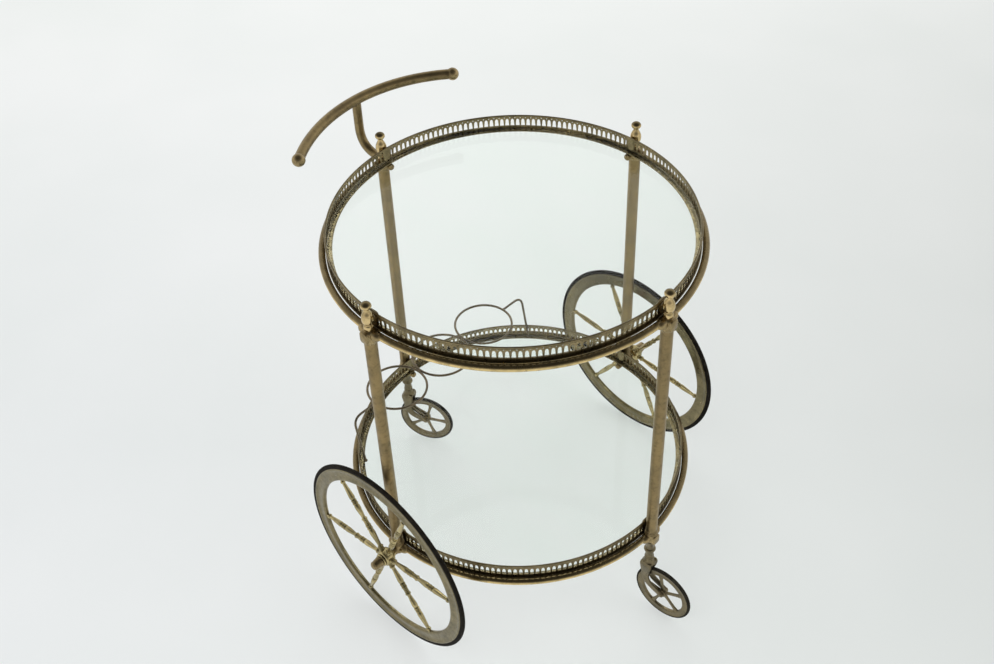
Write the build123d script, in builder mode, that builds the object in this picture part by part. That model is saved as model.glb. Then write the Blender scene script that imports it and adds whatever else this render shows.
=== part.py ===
"""Round two-tier serving cart in brass: two lift-off glass trays with pierced galleries, two large
turned-spoke wheels on fixed stub axles, two swivelling casters, a push handle and a bottle rack.

Millimetres, +Z up. The origin is on the floor, on the common axis of the two round tiers.
The handle is on the -X side and the large wheels are on the -Y and +Y sides.
"""

import os
from math import asin, cos, degrees, pi, radians, sin

from build123d import *

# Frame rings and posts
ring_radius = 290.0
ring_tube = 11.0
tier_spacing = 476.0
post_standoff = 4.0
post_diameter = 19.0
post_wall = 1.2
post_angles = {"front": 0, "right": 90, "handle": 180, "left": 270}
caster_posts = ("front", "handle")

# Sides of the polygons that stand for round sections, and steps down the side of a ball
ring_sides = 8
grip_sides = 12
wire_sides = 6
turning_sides = 12
spoke_sides = 8
hub_sides = 16
ball_steps = 5
ball_flat = 0.3

# Cast couplings where a post meets a ring
coupling_diameter = 21.0
coupling_height = 22.0
coupling_bevel = 2.0
spigot_length = 12.0
arm_bevel = 1.5
boss_diameter = 16.5
boss_reach = 13.0
sleeve_diameter = 14.5
sleeve_reach = 16.0
press_gap = 0.05

# Finials
finial_base = 14.5
finial_base_height = 3.5
finial_waist = 11.0
finial_waist_height = 3.0
pear_diameter = 19.0
pear_height = 26.3
pear_profile = ((0.14, 0.9), (0.36, 1.0), (0.6, 0.9), (0.82, 0.64))
finial_neck = 7.5
finial_ball = 16.2
finial_squash = 0.77
finial_stud = 6.0
stud_length = 8.0

# Pins that carry the trays
pin_ball = 10.0
pin_neck = 6.0
pin_inset = 5.5
seat_gap = 0.05

# Trays
gallery_gap = 1.5
gallery_wall = 1.5
gallery_height = 29.5
gallery_rim = 3.0
gallery_rim_height = 4.0
ledge_width = 9.0
ledge_thickness = 2.0
tray_lifts = {"upper": 2.0, "lower": 0.0}
opening_count = 100
opening_sill = 9.0
opening_height = 13.5
opening_foot = 13.0
opening_shoulder = 9.5
opening_head = 5.0
opening_arch = 3.5
glass_thickness = 5.5
glass_play = 0.5

# Bottle rack
rack_wire = 4.0
bottle_count = 3
bottle_ring_radius = 52.4
bottle_ring_rise = 93.5
rack_foot_inset = 9.3
rack_foot_turn = 50.8
rack_lean = 17.0
rack_bend = 14.0
rack_foot_diameter = 7.0
rack_foot_thickness = 2.0

# Large wheels
wheel_radius = 179.5
wheel_standoff = 27.0
axle_drop = 3.5
tyre_thickness = 6.5
tyre_width = 7.5
tyre_bevel = 2.0
rim_depth = 23.0
rim_width = 7.0
rim_bevel = 2.0
spoke_count = 6
spoke_phase = 7.0
spoke_bead = 8.2
spoke_profile = (
    (0.0, 0.6), (0.05, 0.95), (0.1, 0.6), (0.15, 0.9), (0.19, 0.6), (0.34, 0.85), (0.39, 0.6), (0.43, 1.0),
    (0.47, 0.6), (0.6, 0.85), (0.65, 0.6), (0.68, 0.95), (0.72, 0.8), (0.96, 0.45), (0.98, 0.65), (1.0, 0.6),
)
hub_diameter = 24.0
hub_end = 15.0
hub_length = 26.0
hub_barrel = 10.0
hub_collar = 4.0
hub_play = 0.3
axle_diameter = 9.0
axle_shoulder = 15.0
axle_thread = 6.0
running_fit = 0.05
cap_nut_ball = 14.0
cap_nut_neck = 10.0
cap_nut_reach = 11.0

# Casters
caster_radius = 54.0
caster_turns = {"front": 3, "handle": 25}
caster_rolls = {"front": 28, "handle": 2}
caster_tyre_thickness = 3.5
caster_tyre_width = 6.5
caster_tyre_bevel = 1.5
caster_rim_depth = 11.0
caster_rim_width = 6.0
caster_spoke_count = 5
caster_spoke_width = 5.0
caster_spoke_thickness = 4.0
caster_hub = 14.0
caster_trail = 33.0
caster_axle = 5.0
caster_axle_head = 7.5
caster_head_thickness = 1.5
fork_arm = 4.0
fork_gap = 10.0
fork_eye = 9.0
fork_front = ((-7.5, 62.0), (-5.0, 32.0), (-3.5, 18.0), (1.5, 9.0))
fork_back = ((9.0, 16.5), (5.5, 21.5), (4.5, 32.0), (7.5, 62.0))
fork_crown = 24.0
crown_brim = 4.0
crown_shoulder = 19.0
crown_shoulder_height = 8.5
fork_crown_height = 14.0
crown_clearance = 4.0
swivel_collar = 15.0
swivel_collar_height = 9.7
swivel_play = 0.3
stem_diameter = 8.0
stem_headroom = 4.0
socket_foot = 14.0
socket_neck = 13.5
socket_bead = 20.0
socket_bead_length = 12.0
socket_bead_flat = 6.0
socket_bead_rise = 10.5
socket_flare = 17.0
socket_flare_height = 8.0

# Push handle
handle_reach = 51.0
handle_root = 6.0
handle_rise = 91.0
handle_stem_diameter = 15.0
handle_bend = 42.0
grip_diameter = 17.0
grip_bow = 277.0
grip_half_span = 165.7
grip_slope = 6.0
grip_ball = 21.5


def export(piece, label):
    """Name a finished piece and write it to its own file."""
    piece.label = label
    export_step(piece, f"parts/{label}.step")


def station(name, height=0.0):
    """Plane on a post's axis at a height, its X axis pointing away from the cart's centre."""
    angle = radians(post_angles[name])
    return Plane(
        origin=(post_circle * cos(angle), post_circle * sin(angle), height),
        x_dir=(cos(angle), sin(angle), 0),
        z_dir=(0, 0, 1),
    )


def on_posts(piece, names, height):
    """Group of copies of a piece, one on each of the named posts."""
    with BuildPart() as group:
        for name in names:
            with Locations(station(name, height)):
                add(piece)
    return group.part


def turned(outline):
    """Solid turned about the Z axis from a closed outline of (radius, height) points."""
    with BuildPart() as piece:
        with BuildSketch(Plane.XZ):
            with BuildLine():
                Polyline(*outline, close=True)
            make_face()
        revolve(axis=Axis.Z)
    return piece.part


def faceted(outline, sides):
    """Solid of regular polygon sections through (radius, height) points, from bottom to top."""
    with BuildPart() as piece:
        for radius, height in outline:
            with BuildSketch(Plane.XY.offset(height)):
                RegularPolygon(radius, sides)
        loft(ruled=True)
    return piece.part


def ball_outline(ball, neck, centre, squash=1.0):
    """Points (radius, height) up the side of a ball, from a neck to the small flat on its top."""
    start = pi - asin(neck / ball)
    turns = [start + (asin(ball_flat) - start) * step / ball_steps for step in range(ball_steps + 1)]
    return [(ball * sin(turn), centre + squash * ball * cos(turn)) for turn in turns]


def casting_arm(diameter, reach):
    """Round arm of a coupling along +X, from inside its barrel to a bevelled end."""
    with BuildPart() as piece:
        with BuildSketch(Plane.YZ.offset(coupling_radius / 2)):
            Circle(diameter / 2)
        extrude(amount=reach - coupling_radius / 2)
        chamfer(piece.faces().sort_by(Axis.X)[-1].edges(), arm_bevel)
    return piece.part


os.makedirs("parts", exist_ok=True)

post_circle = ring_radius + post_standoff
post_radius = post_diameter / 2
post_bore = post_radius - post_wall
coupling_radius = coupling_diameter / 2
coupling_half = coupling_height / 2
lower_ring_height = wheel_radius + axle_drop
upper_ring_height = lower_ring_height + tier_spacing
ring_heights = {"upper": upper_ring_height, "lower": lower_ring_height}

# Castings of the couplings, which the rings, pins, axles and the handle stop against: a barrel
# with a sleeve on each side where the ring enters
with BuildPart() as sleeves:
    with PolarLocations(0, 2, start_angle=90):
        add(casting_arm(sleeve_diameter, sleeve_reach))
with BuildPart() as casting:
    Cylinder(coupling_radius, coupling_height)
    add(sleeves.part)
castings = {tier: on_posts(casting.part, post_angles, height) for tier, height in ring_heights.items()}

# Rings: four tube arcs each, brazed between the couplings
for tier, height in ring_heights.items():
    with BuildPart() as ring:
        with BuildSketch(Plane.XZ):
            with Locations((ring_radius, height)):
                RegularPolygon(ring_tube / 2, ring_sides)
        revolve(axis=Axis.Z)
        add(castings[tier], mode=Mode.SUBTRACT)
    export(ring.part, f"{tier}_ring")

# Posts: plain tubes between the couplings
post_bottom = lower_ring_height + coupling_half
post_length = upper_ring_height - coupling_half - post_bottom
for name in post_angles:
    with BuildPart() as post:
        with BuildSketch(station(name, post_bottom)):
            Circle(post_radius)
            Circle(post_bore, mode=Mode.SUBTRACT)
        extrude(amount=post_length)
    export(post.part, f"post_{name}")

# Couplings: a bevelled barrel with its sleeves, a spigot inside the post and a blank boss facing outward
spigot = post_bore - press_gap
boss = casting_arm(boss_diameter, boss_reach)
upper_barrel = turned([
    (0, -coupling_half - spigot_length), (spigot, -coupling_half - spigot_length),
    (spigot, -coupling_half), (coupling_radius, -coupling_half),
    (coupling_radius, coupling_half - coupling_bevel), (coupling_radius - coupling_bevel, coupling_half),
    (finial_stud / 2 + press_gap, coupling_half),
    (finial_stud / 2 + press_gap, coupling_half - stud_length - press_gap),
    (0, coupling_half - stud_length - press_gap),
])
lower_barrel = turned([
    (0, coupling_half + spigot_length), (spigot, coupling_half + spigot_length),
    (spigot, coupling_half), (coupling_radius, coupling_half),
    (coupling_radius, coupling_bevel - coupling_half), (coupling_radius - coupling_bevel, -coupling_half),
    (0, -coupling_half),
])
with BuildPart() as upper_couplings:
    add(on_posts(upper_barrel, post_angles, upper_ring_height))
    add(on_posts(sleeves.part, post_angles, upper_ring_height))
    add(on_posts(boss, ("front", "right", "left"), upper_ring_height))
export(upper_couplings.part, "upper_couplings")
with BuildPart() as lower_couplings:
    add(on_posts(lower_barrel, post_angles, lower_ring_height))
    add(on_posts(sleeves.part, post_angles, lower_ring_height))
    add(on_posts(boss, caster_posts, lower_ring_height))
export(lower_couplings.part, "lower_couplings")

# Finials: a waisted base, a pear and a ball on a threaded stud
pear_bottom = finial_base_height + finial_waist_height
pear_top = pear_bottom + pear_height
squashed_half = finial_ball / 2 * finial_squash
with BuildPart() as finial:
    add(faceted([
        (finial_base / 2, 0), (finial_base / 2, finial_base_height), (finial_waist / 2, pear_bottom),
        *[(width * pear_diameter / 2, pear_bottom + share * pear_height) for share, width in pear_profile],
        *ball_outline(finial_ball / 2, finial_neck / 2, pear_top + squashed_half, finial_squash),
    ], turning_sides))
    with BuildSketch():
        Circle(finial_stud / 2)
    extrude(amount=-stud_length)
export(on_posts(finial.part, post_angles, upper_ring_height + coupling_half), "finials")

# Trays sit inside the rings, and pins at the four posts carry their ledges
gallery_radius = ring_radius - ring_tube / 2 - gallery_gap
pin_circle = gallery_radius - pin_inset

# Tray pins: a neck out of each coupling with a ball that carries the ledge
pin_drop = pin_ball / 2 + seat_gap
pin = faceted(
    [(pin_neck / 2, pin_circle - post_circle), *ball_outline(pin_ball / 2, pin_neck / 2, 0)], spoke_sides
)
for tier, height in ring_heights.items():
    with BuildPart() as pins:
        for name in post_angles:
            base = station(name, height + tray_lifts[tier] - pin_drop)
            inward = Plane(
                origin=base.origin - base.x_dir * (post_circle - pin_circle),
                x_dir=(0, 0, 1),
                z_dir=-base.x_dir,
            )
            with Locations(inward):
                add(pin)
        add(castings[tier], mode=Mode.SUBTRACT)
    export(pins.part, f"{tier}_tray_pins")

# Trays: a gallery with a ledge, a pierced wall and a rim, and the glass inside it
wall_inside = gallery_radius - gallery_wall
ledge_inside = gallery_radius - ledge_width
rim_inside = gallery_radius - gallery_rim
opening_top = opening_sill + opening_height
opening_spring = opening_top - opening_arch
with BuildPart() as opening:
    with BuildSketch(Plane.YZ.offset(rim_inside)):
        with BuildLine():
            Polyline(
                (0, opening_sill), (opening_foot / 2, opening_sill), (opening_shoulder / 2, opening_spring),
                (opening_head / 2, opening_top), (0, opening_top),
            )
            mirror(about=Plane.YZ)
        make_face()
    extrude(amount=2 * gallery_rim)
with BuildPart() as gallery:
    for inside, bottom, top in (
        (ledge_inside, 0, ledge_thickness),
        (wall_inside, ledge_thickness, gallery_height - gallery_rim_height),
        (rim_inside, gallery_height - gallery_rim_height, gallery_height),
    ):
        with BuildSketch(Plane.XY.offset(bottom)):
            RegularPolygon(gallery_radius, opening_count)
            RegularPolygon(inside, opening_count, mode=Mode.SUBTRACT)
        extrude(amount=top - bottom)
    with PolarLocations(0, opening_count, start_angle=180 / opening_count):
        add(opening.part, mode=Mode.SUBTRACT)
for tier, height in ring_heights.items():
    base = height + tray_lifts[tier]
    ledge_top = base + ledge_thickness
    export(gallery.part.moved(Location((0, 0, base))), f"{tier}_gallery")

    with BuildPart() as glass:
        with BuildSketch(Plane.XY.offset(ledge_top)):
            Circle(wall_inside - glass_play)
        extrude(amount=glass_thickness)
    export(glass.part, f"{tier}_glass")

# Bottle rack: rings of wire brazed side by side, on two bent legs that stand on the lower glass
shelf_top = lower_ring_height + tray_lifts["lower"] + ledge_thickness + glass_thickness
bottle_ring_height = shelf_top + bottle_ring_rise
foot_circle = wall_inside - rack_foot_inset
rack_foot_x = foot_circle * cos(radians(rack_foot_turn))
rack_foot_y = foot_circle * sin(radians(rack_foot_turn))
rack_offset = rack_foot_x + rack_lean
ring_pitch = 2 * bottle_ring_radius + rack_wire
ring_places = [ring_pitch * (index - (bottle_count - 1) / 2) for index in range(bottle_count)]
with BuildPart() as bottle_rings:
    for place in ring_places:
        with BuildSketch(Plane.XZ.offset(-place)):
            with Locations((bottle_ring_radius - rack_offset, bottle_ring_height)):
                RegularPolygon(rack_wire / 2, wire_sides)
        revolve(axis=Axis((-rack_offset, place, 0), (0, 0, 1)))
export(bottle_rings.part, "bottle_rings")

leg_start = ring_places[-1] + bottle_ring_radius + rack_wire / 2
for name, side in (("left", -1), ("right", 1)):
    with BuildPart() as leg:
        with BuildLine() as route:
            FilletPolyline(
                (-rack_offset, side * leg_start, bottle_ring_height),
                (-rack_offset, side * rack_foot_y, bottle_ring_height),
                (-rack_foot_x, side * rack_foot_y, shelf_top + rack_foot_thickness),
                radius=rack_bend,
            )
        with BuildSketch(Plane(origin=route.line @ 0, z_dir=route.line % 0)):
            RegularPolygon(rack_wire / 2, wire_sides)
        sweep()
        with BuildSketch(Plane.XY.offset(shelf_top)):
            with Locations((-rack_foot_x, side * rack_foot_y)):
                Circle(rack_foot_diameter / 2)
        extrude(amount=rack_foot_thickness)
    export(leg.part, f"rack_leg_{name}")

# Large wheels, each drawn flat about the Z axis and stood up on its axle
wheel_plane = post_circle + wheel_standoff
rim_outside = wheel_radius - tyre_thickness
rim_bore = rim_outside - rim_depth
hub_radius = hub_diameter / 2
half_hub = hub_length / 2
axle_bore = axle_diameter / 2 + running_fit
tyre = turned([
    (rim_outside, -tyre_width / 2), (wheel_radius - tyre_bevel, -tyre_width / 2),
    (wheel_radius, tyre_bevel - tyre_width / 2), (wheel_radius, tyre_width / 2 - tyre_bevel),
    (wheel_radius - tyre_bevel, tyre_width / 2), (rim_outside, tyre_width / 2),
])
rim = turned([
    (rim_bore, rim_bevel - rim_width / 2), (rim_bore + rim_bevel, -rim_width / 2),
    (rim_outside, -rim_width / 2), (rim_outside, rim_width / 2),
    (rim_bore + rim_bevel, rim_width / 2), (rim_bore, rim_width / 2 - rim_bevel),
])
with BuildPart() as hub:
    add(faceted([
        (hub_end / 2, -half_hub), (hub_end / 2, hub_collar - half_hub), (hub_radius, -hub_barrel / 2),
        (hub_radius, hub_barrel / 2), (hub_end / 2, half_hub - hub_collar), (hub_end / 2, half_hub),
    ], hub_sides))
    Cylinder(axle_bore, hub_length, mode=Mode.SUBTRACT)
spoke_length = rim_bore - hub_radius
turning = [(width * spoke_bead / 2, hub_radius + share * spoke_length) for share, width in spoke_profile]
spoke_root = turning[0][0]
spoke_tip = turning[-1][0]
spoke = faceted([(spoke_root, hub_end / 2), *turning, (spoke_tip, rim_bore + spoke_tip)], spoke_sides)
with BuildPart() as spokes:
    with PolarLocations(0, spoke_count, start_angle=spoke_phase):
        add(spoke, rotation=(0, 90, 0))
    add(rim, mode=Mode.SUBTRACT)
    add(hub.part, mode=Mode.SUBTRACT)

# Stub axle: a shoulder against the coupling, the journal and a thread for the cap nut
shoulder_end = wheel_plane - half_hub - hub_play - post_circle
journal_end = wheel_plane + half_hub + hub_play - post_circle
thread_end = journal_end + cap_nut_reach
axle = turned([
    (0, 0), (axle_shoulder / 2, 0), (axle_shoulder / 2, shoulder_end),
    (axle_diameter / 2, shoulder_end), (axle_diameter / 2, journal_end),
    (axle_thread / 2, journal_end), (axle_thread / 2, thread_end), (0, thread_end),
])
thread_bore = axle_thread / 2 + press_gap
with BuildPart() as cap_nut:
    add(faceted(
        [(cap_nut_neck / 2, 0), *ball_outline(cap_nut_ball / 2, cap_nut_neck / 2, cap_nut_reach)],
        turning_sides,
    ))
    with BuildSketch():
        Circle(thread_bore)
    extrude(amount=cap_nut_reach + press_gap, mode=Mode.SUBTRACT)

for name, side in (("left", -1), ("right", 1)):
    hub_centre = Plane(origin=(0, side * wheel_plane, wheel_radius), x_dir=(1, 0, 0), z_dir=(0, side, 0))
    export(tyre.moved(hub_centre.location), f"tyre_{name}")
    export(rim.moved(hub_centre.location), f"wheel_rim_{name}")
    export(spokes.part.moved(hub_centre.location), f"wheel_spokes_{name}")
    export(hub.part.moved(hub_centre.location), f"wheel_hub_{name}")
    post_centre = Plane(origin=(0, side * post_circle, wheel_radius), x_dir=(1, 0, 0), z_dir=(0, side, 0))
    with BuildPart() as stub:
        with Locations(post_centre):
            add(axle)
        add(castings["lower"], mode=Mode.SUBTRACT)
    export(stub.part, f"axle_{name}")
    export(cap_nut.part.moved(post_centre.offset(journal_end).location), f"cap_nut_{name}")

# Caster sockets under the couplings: a bead and a neck that flares at its top, bored for the stem
crown_bottom = 2 * caster_radius + crown_clearance
crown_top = crown_bottom + fork_crown_height
collar_top = crown_top + swivel_collar_height
socket_bottom = collar_top + swivel_play
socket_top = lower_ring_height - coupling_half
stem_bore = stem_diameter / 2 + running_fit
bead_middle = socket_bottom + socket_bead_rise
with BuildPart() as socket:
    add(faceted([
        (socket_foot / 2, socket_bottom), (socket_neck / 2, bead_middle - socket_bead_length / 2),
        (socket_bead / 2, bead_middle - socket_bead_flat / 2),
        (socket_bead / 2, bead_middle + socket_bead_flat / 2),
        (socket_neck / 2, bead_middle + socket_bead_length / 2),
        (socket_neck / 2, socket_top - socket_flare_height), (socket_flare / 2, socket_top),
    ], turning_sides))
    with BuildSketch(Plane.XY.offset(socket_bottom)):
        Circle(stem_bore)
    extrude(amount=socket_top - socket_bottom, mode=Mode.SUBTRACT)

# Caster wheel, drawn flat about the Z axis: a spoked casting with a rubber tyre
caster_rim = caster_radius - caster_tyre_thickness
caster_bore = caster_rim - caster_rim_depth
caster_hub_width = fork_gap - 2 * swivel_play
caster_tyre = turned([
    (caster_rim, -caster_tyre_width / 2), (caster_radius - caster_tyre_bevel, -caster_tyre_width / 2),
    (caster_radius, caster_tyre_bevel - caster_tyre_width / 2),
    (caster_radius, caster_tyre_width / 2 - caster_tyre_bevel),
    (caster_radius - caster_tyre_bevel, caster_tyre_width / 2), (caster_rim, caster_tyre_width / 2),
])
with BuildPart() as caster_wheel:
    with BuildSketch(Plane.XY.offset(-caster_rim_width / 2)):
        Circle(caster_rim)
        Circle(caster_bore, mode=Mode.SUBTRACT)
    extrude(amount=caster_rim_width)
    with BuildSketch(Plane.XY.offset(-caster_spoke_thickness / 2)):
        with PolarLocations(caster_bore / 2, caster_spoke_count):
            Rectangle(caster_bore + caster_rim_depth, caster_spoke_width)
    extrude(amount=caster_spoke_thickness)
    Cylinder(caster_hub / 2, caster_hub_width)
    Cylinder(caster_axle / 2 + running_fit, caster_hub_width, mode=Mode.SUBTRACT)

# Caster axle: a headed pin through both arms of the fork
half_fork = fork_gap / 2 + fork_arm
pin_end = half_fork + caster_head_thickness
caster_pin = turned([
    (0, -pin_end), (caster_axle_head / 2, -pin_end), (caster_axle_head / 2, -half_fork),
    (caster_axle / 2, -half_fork), (caster_axle / 2, half_fork),
    (caster_axle_head / 2, half_fork), (caster_axle_head / 2, pin_end), (0, pin_end),
])

# Fork: a stem, a collar, a bell crown and two arms that narrow down and back to the axle
crown_radius = fork_crown / 2
collar_radius = swivel_collar / 2
eye_radius = fork_eye / 2
arm_outline = [*fork_front, (caster_trail, -eye_radius), (caster_trail, eye_radius), *fork_back]
with BuildPart() as fork:
    add(faceted([
        (crown_radius, crown_bottom), (crown_radius, crown_bottom + crown_brim),
        (crown_shoulder / 2, crown_bottom + crown_shoulder_height), (collar_radius, crown_top),
        (collar_radius, collar_top),
    ], turning_sides))
    with BuildSketch(Plane.XY.offset(crown_top)):
        Circle(stem_diameter / 2)
    extrude(amount=socket_top - stem_headroom - crown_top)
    with BuildSketch(Plane.XZ.offset(-half_fork)):
        with BuildLine():
            Polyline(*[(reach, caster_radius + rise) for reach, rise in arm_outline], close=True)
        make_face()
        with Locations((caster_trail, caster_radius)):
            Circle(eye_radius)
    extrude(amount=2 * half_fork)
    with Locations((caster_trail / 2, 0, crown_bottom / 2)):
        Box(2 * caster_radius, fork_gap, crown_bottom, mode=Mode.SUBTRACT)
    with Locations((caster_trail, 0, caster_radius)):
        Cylinder(caster_axle / 2 + press_gap, 2 * half_fork, rotation=(90, 0, 0), mode=Mode.SUBTRACT)

axle_centre = Plane(origin=(caster_trail, 0, caster_radius), x_dir=(1, 0, 0), z_dir=(0, -1, 0)).location
for name in caster_posts:
    centre = station(name).origin
    swivel = Location((centre.X, centre.Y, 0), (0, 0, caster_turns[name]))
    export(socket.part.moved(swivel), f"caster_socket_{name}")
    export(fork.part.moved(swivel), f"caster_fork_{name}")
    roll = Location((0, 0, 0), (0, 0, caster_rolls[name]))
    export(caster_wheel.part.moved(swivel * axle_centre * roll), f"caster_wheel_{name}")
    export(caster_tyre.moved(swivel * axle_centre), f"caster_tyre_{name}")
    export(caster_pin.moved(swivel * axle_centre), f"caster_axle_{name}")

# Push handle: a bowed grip with a ball at each end
stem_height = upper_ring_height + handle_root
handle_height = stem_height + handle_rise
slope = radians(grip_slope)
grip_plane = Plane(
    origin=(-post_circle - handle_reach, 0, handle_height),
    x_dir=(-cos(slope), 0, sin(slope)),
    z_dir=(sin(slope), 0, cos(slope)),
)
half_turn = asin(grip_half_span / grip_bow)
grip_sag = grip_bow * (1 - cos(half_turn))
bow_centre = grip_plane.from_local_coords((-grip_bow, 0, 0))
ball_centres = [grip_plane.from_local_coords((-grip_sag, side * grip_half_span, 0)) for side in (-1, 1)]
ball_radius = grip_ball / 2
with BuildPart() as grip_balls:
    with Locations(*ball_centres):
        add(faceted(ball_outline(ball_radius, ball_radius * ball_flat, 0), turning_sides))
export(grip_balls.part, "grip_balls")
with BuildPart() as grip:
    with BuildSketch(Plane(origin=grip_plane.origin, x_dir=grip_plane.x_dir, z_dir=-grip_plane.y_dir)):
        RegularPolygon(grip_diameter / 2, grip_sides)
    revolve(axis=Axis(bow_centre, grip_plane.z_dir), revolution_arc=degrees(half_turn))
    mirror(about=Plane.XZ)
    add(grip_balls.part, mode=Mode.SUBTRACT)
export(grip.part, "handle_grip")

# Handle stem: out of the handle post's coupling, then up in one bend into the grip
with BuildPart() as handle_stem:
    with BuildLine() as route:
        FilletPolyline(
            (-post_circle, 0, stem_height), (-post_circle - handle_reach, 0, stem_height),
            (-post_circle - handle_reach, 0, handle_height - grip_diameter / 4), radius=handle_bend,
        )
    with BuildSketch(Plane(origin=route.line @ 0, x_dir=(0, 1, 0), z_dir=route.line % 0)):
        RegularPolygon(handle_stem_diameter / 2, grip_sides)
    sweep()
    with Locations(station("handle", stem_height)):
        Cylinder(coupling_radius, 2 * coupling_height, mode=Mode.SUBTRACT)
    add(grip.part, mode=Mode.SUBTRACT)
export(handle_stem.part, "handle_stem")
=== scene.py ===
"""Looks of the round two-tier brass serving cart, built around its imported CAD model.

Shapes are drawn in millimetres in the cart's own frame: +Z up, origin on the floor on the axis of
the two tiers, handle towards -X, large wheels at -Y and +Y. piece() turns them into metres.
"""

from math import asin, cos, pi, radians, sin, tau

import bpy
from mathutils import Matrix, Vector


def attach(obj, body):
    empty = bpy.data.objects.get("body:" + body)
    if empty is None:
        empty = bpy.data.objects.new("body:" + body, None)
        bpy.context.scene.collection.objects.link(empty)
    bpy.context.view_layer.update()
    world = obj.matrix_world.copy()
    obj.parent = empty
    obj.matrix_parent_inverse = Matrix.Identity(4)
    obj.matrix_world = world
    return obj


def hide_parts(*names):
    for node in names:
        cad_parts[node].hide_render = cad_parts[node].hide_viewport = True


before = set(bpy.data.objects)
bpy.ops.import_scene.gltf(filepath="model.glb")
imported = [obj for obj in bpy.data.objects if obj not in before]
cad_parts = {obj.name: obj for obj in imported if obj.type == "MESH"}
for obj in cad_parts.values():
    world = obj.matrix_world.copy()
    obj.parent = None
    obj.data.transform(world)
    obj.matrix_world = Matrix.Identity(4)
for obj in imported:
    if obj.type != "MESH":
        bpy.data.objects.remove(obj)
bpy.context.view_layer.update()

MM = 0.001
UP = Vector((0, 0, 1))

# Frame: heights of the hoops, and the bearings of the posts in degrees
RING_RADIUS = 290.0
RING_TUBE = 5.5
POST_CIRCLE = 294.0
POST_RADIUS = 9.5
COUPLING_HALF = 11.0
TIERS = {"upper": 659.0, "lower": 183.0}
POSTS = {"front": 0, "right": 90, "handle": 180, "left": 270}
SIDES = {"left": -1, "right": 1}

# Castings. Block on the outer side: (reach from the post's axis, width factor, height factor).
# Sleeve of an arc: (run from the post, distance from the cart's axis, half width, half height).
BOSS_HEIGHT = -3.2
BOSS = ((0, 1, 1), (10.2, 1, 1), (11.2, 0.985, 0.99), (11.9, 0.94, 0.955), (12.3, 0.86, 0.90))
SLEEVE = (
    (3.0, 292.8, 8.3, 7.4), (8.0, 292.8, 8.2, 7.3), (12.0, 292.6, 8.1, 7.25),
    (14.3, 292.4, 7.9, 7.2), (15.2, 292.0, 7.4, 6.9), (15.7, 291.2, 6.6, 6.4),
    (16.0, 290.4, 5.7, 5.7),
)

# Trays: heights are measured from the underside of a gallery's ledge
GALLERY_RADIUS = 283.0
WALL_INSIDE = 281.7
LEDGE_INSIDE = 274.0
LEDGE_TOP = 1.6
GALLERY_HEIGHT = 29.5
SKIRT_FOOT = -1.8
TRAY_LIFTS = {"upper": 2.0, "lower": 0.0}
PIN_RADIUS = 277.5
PIN_DROP = 5.8

# Openings of a gallery, one arch and one eyelet to a cell
ARCHES = 200
ARCH_BAND = (8.0, 22.7)
ARCH_SILL = 9.0
ARCH_SPRING = 18.0
ARCH_TOP = 22.4
ARCH_FOOT = 3.3
ARCH_HEAD = 2.6
EYELET = 1.05
EYELET_BAND = (22.7, 25.4)
EYELET_HEIGHT = 24.1

# Clasps: rows of (height, half width), depths inside the wall, and how far the face falls to a side
CLASP_ROWS = ((8.2, 7.0), (11.0, 7.6), (16.0, 8.2), (22.0, 8.6), (27.0, 8.8), (30.4, 8.4))
CLASP_COLUMNS = 10
CLASP_FACE = 2.4
CLASP_BACK = -0.2
CLASP_FALL = 1.4

# Large wheels
WHEEL_RADIUS = 179.5
WHEEL_PLANE = 321.0
SPOKES = 6
SPOKE_PHASE = 7.0
SPOKE_STOUTNESS = 1.2
JOURNAL_END = 40.3

# Casters: the arms of a fork are ARM_GAP off its middle plane, and widths are half widths
CASTER_RADIUS = 54.0
CASTER_TRAIL = 33.0
CASTER_SPOKES = 5
CASTER_SPOKE_FOOT = 5.0
CASTER_SPOKE_RUN = 36.0
CASTER_TURNS = {"front": radians(3), "handle": radians(25)}
CASTER_ROLLS = {"front": radians(28), "handle": radians(2)}
ARM_GAP = 5.0
ARM_WIDTH = 6.0
ARM_THICKNESS = 2.0

# Handle
HANDLE_REACH = 51.0
STEM_RADIUS = 7.5
STEM_START = 8.0
STEM_HEIGHT = 665.0
HANDLE_HEIGHT = 756.0
GRIP_RADIUS = 8.42
GRIP_BOW = 277.0
GRIP_HALF_SPAN = 165.7
GRIP_SLOPE = radians(6.0)
KNOB_RADIUS = 10.65

# Bottle rack
WIRE_RADIUS = 2.1
BOTTLE_RING = 52.4
BOTTLE_RING_HEIGHT = 284.0
RING_PITCH = 108.8
RACK_OFFSET = 189.0
RACK_FOOT_X = 172.0
RACK_FOOT_Y = 211.0
SHELF_TOP = 190.5
WIRE_END = SHELF_TOP + 1.5

# Floor: half its width in metres, a mottle, tones of a painted falloff of light over a first drift
# across it (darker towards one side), a paler tone of painted light over a second drift into its
# depth, and the share of light that it gives off itself. A drift has a direction and, in
# millimetres along it, a start and an end.
FLOOR_HALF = 12.0
FLOOR_MOTTLE = ((0.35, (0.955, 0.965, 0.96)), (0.65, (1.0, 1.0, 1.0)))
FLOOR_FALLOFF_TONES = ((0.0, (0.84, 0.86, 0.865)), (0.45, (0.825, 0.85, 0.84)), (1.0, (0.63, 0.65, 0.635)))
FLOOR_DEPTH_LIGHT = (0.95, 0.965, 0.95)
FLOOR_DRIFTS = (((0.707, 0.707, 0), -900.0, 1500.0), ((-0.707, 0.707, 0), 200.0, 2600.0))
FLOOR_GLOW = 0.62

# Camera: place in metres, bearing, height and roll of its line of sight
CAMERA_PLACE = (1.0226, -1.0572, 1.8174)
CAMERA_AZIMUTH = radians(45.16)
CAMERA_ELEVATION = radians(40.94)
CAMERA_ROLL = radians(-2.45)
CAMERA_LENS = 44.58
CAMERA_SHIFT = -0.0390

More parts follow.
